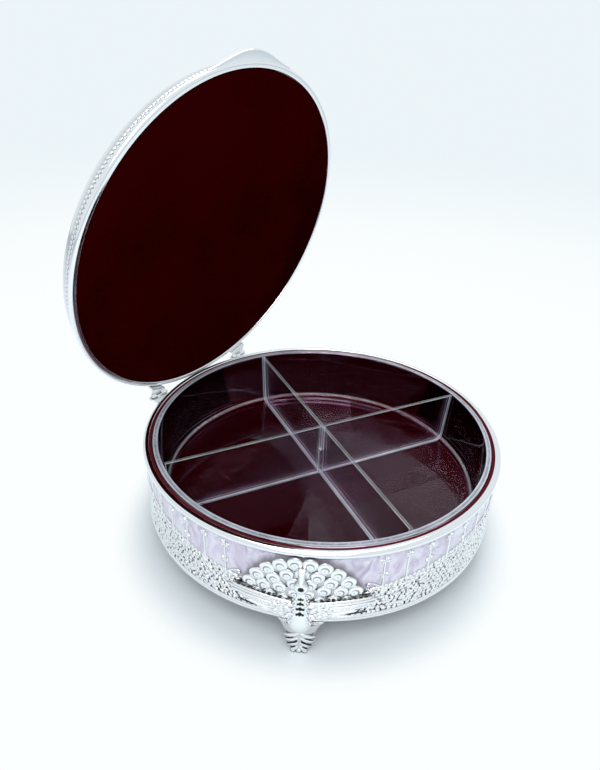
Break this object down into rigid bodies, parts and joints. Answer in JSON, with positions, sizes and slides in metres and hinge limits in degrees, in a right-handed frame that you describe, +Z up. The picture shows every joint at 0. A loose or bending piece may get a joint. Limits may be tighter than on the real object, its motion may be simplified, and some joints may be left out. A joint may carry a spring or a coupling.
{
  "type": "dried fruit box",
  "caption": "Round silver-plated dried fruit box on peacock feet, with a velvet-lined hinged lid, a lilac enamel band and a clear divided tray.",
  "frame": {"origin": "centre of the flat underside of the body, between the three feet", "axes": "+Z up through the middle of the round body, +Y to the back where the hinge is, -Y to the front where the lift tab closes"},
  "size_m": [0.2484, 0.2622, 0.3223],
  "materials": {
    "silver_plate": "bright silver plate, darkened in the relief",
    "lilac_enamel": "pearly marbled enamel",
    "cover_cloth": "short pile",
    "board_wood": "raw fibreboard",
    "maroon_velvet": "velvet",
    "screw_steel": "plain steel",
    "clear_plastic": "clear acrylic"
  },
  "bodies": {
    "base": {"body_shell": "silver_plate", "enamel_band": "lilac_enamel", "bottom_cover": "cover_cloth", "base_board": "board_wood", "velvet_liner": "maroon_velvet", "peacock_foot_back": "silver_plate", "peacock_foot_left": "silver_plate", "peacock_foot_right": "silver_plate", "foot_screw_back": "screw_steel", "foot_screw_left": "screw_steel", "foot_screw_right": "screw_steel", "body_leaf_left": "silver_plate", "body_leaf_right": "silver_plate", "hinge_pin_left": "screw_steel", "hinge_pin_right": "screw_steel", "body_rivet_left_inner": "silver_plate", "body_rivet_left_outer": "silver_plate", "body_rivet_right_inner": "silver_plate", "body_rivet_right_outer": "silver_plate"},
    "lid": {"lid_shell": "silver_plate", "lid_enamel": "lilac_enamel", "lid_lining": "maroon_velvet", "lift_tab": "silver_plate", "lid_leaf_left": "silver_plate", "lid_leaf_right": "silver_plate", "lid_rivet_left_inner": "silver_plate", "lid_rivet_left_outer": "silver_plate", "lid_rivet_right_inner": "silver_plate", "lid_rivet_right_outer": "silver_plate"},
    "tray": {"tray_bowl": "clear_plastic", "divider_long": "clear_plastic", "divider_cross": "clear_plastic"}
  },
  "joints": [
    {"name": "lid_hinge", "type": "hinge", "parent": "base", "child": "lid", "pos_m": [0, 0.1224, 0.0515], "axis": [-1, 0, 0], "range_deg": [-76, 12]},
    {"name": "tray_turn", "type": "hinge", "parent": "base", "child": "tray", "pos_m": [0, 0, 0.0116], "axis": [0, 0, 1], "continuous": true}
  ]
}
